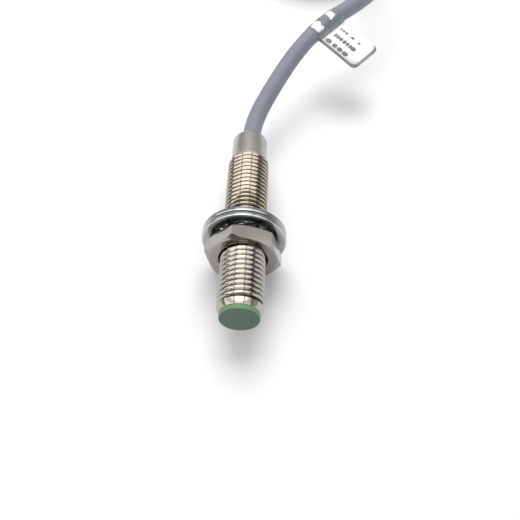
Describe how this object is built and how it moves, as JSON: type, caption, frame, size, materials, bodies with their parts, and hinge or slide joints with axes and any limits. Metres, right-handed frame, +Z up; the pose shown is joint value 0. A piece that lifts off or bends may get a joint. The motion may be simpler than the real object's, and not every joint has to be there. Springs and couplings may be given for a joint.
{
  "type": "proximity sensor",
  "caption": "Cylindrical threaded inductive proximity sensor with a green sensing cap, hex nut, lock washers and a grey cable with free leads.",
  "frame": {"origin": "centre of the sensing face, on the barrel's axis", "axes": "+Y along the barrel from the sensing face to the cable, +Z up from the surface that the sensor lies on, +X to the right seen from the sensing face's side looking along +Y"},
  "size_m": [0.0408, 0.1648, 0.0195],
  "materials": {
    "nickel_plated_brass": "satin nickel plate over turned brass",
    "zinc_plated_steel": "bright bluish zinc plate",
    "green_plastic": "moulded, satin",
    "black_plastic": "moulded",
    "ferrite": "sintered, dull",
    "copper_wire": "enamelled",
    "board_laminate": "solder mask",
    "component_black": "moulded",
    "ceramic_tan": "ceramic",
    "potting_resin": "cast resin",
    "insulation_brown": "extruded",
    "insulation_blue": "extruded",
    "insulation_black": "extruded",
    "cable_grey": "extruded PVC, satin",
    "rubber_black": "moulded",
    "tie_black": "moulded nylon",
    "tinned_copper": "tinned strands",
    "clear_film": "clear glossy film",
    "label_paper": null
  },
  "bodies": {
    "sensor": {"threaded_barrel": "nickel_plated_brass", "sensing_cap": "green_plastic", "ferrite_core": "ferrite", "coil_bobbin": "black_plastic", "sensing_coil": "copper_wire", "coil_leads": "copper_wire", "board_carrier": "black_plastic", "circuit_board": "board_laminate", "oscillator_chip": "component_black", "output_transistor": "component_black", "protection_diode": "component_black", "resistors": "component_black", "capacitors": "ceramic_tan", "potting_resin": "potting_resin", "wire_brown": "insulation_brown", "wire_blue": "insulation_blue", "wire_black": "insulation_black", "strain_relief_ring": "nickel_plated_brass", "cable_bush": "rubber_black", "cable_run": "cable_grey", "cable_end": "cable_grey", "cable_hank": "cable_grey", "cable_ties": "tie_black", "lead_brown": "insulation_brown", "lead_blue": "insulation_blue", "lead_black": "insulation_black", "tinned_tips": "tinned_copper", "label_film": "clear_film", "label_flag": "label_paper"},
    "nut": {"mounting_nut": "nickel_plated_brass"},
    "front_washer": {"front_lock_washer": "zinc_plated_steel"},
    "rear_washer": {"rear_lock_washer": "zinc_plated_steel"}
  },
  "joints": [
    {"name": "front_washer_slide", "type": "slide", "parent": "sensor", "child": "front_washer", "axis": [0, 1, 0], "range_m": [-0.0095, 0]},
    {"name": "nut_turn", "type": "hinge", "parent": "front_washer", "child": "nut", "pos_m": [0, 0.0134, 0], "axis": [0, 1, 0], "range_deg": [-3421, 0]},
    {"name": "rear_washer_slide", "type": "slide", "parent": "sensor", "child": "rear_washer", "axis": [0, 1, 0], "range_m": [0, 0.016]}
  ],
  "couplings": [
    {"joint": "nut_turn", "follows": "front_washer_slide", "rad_per_m": 6283.2}
  ]
}
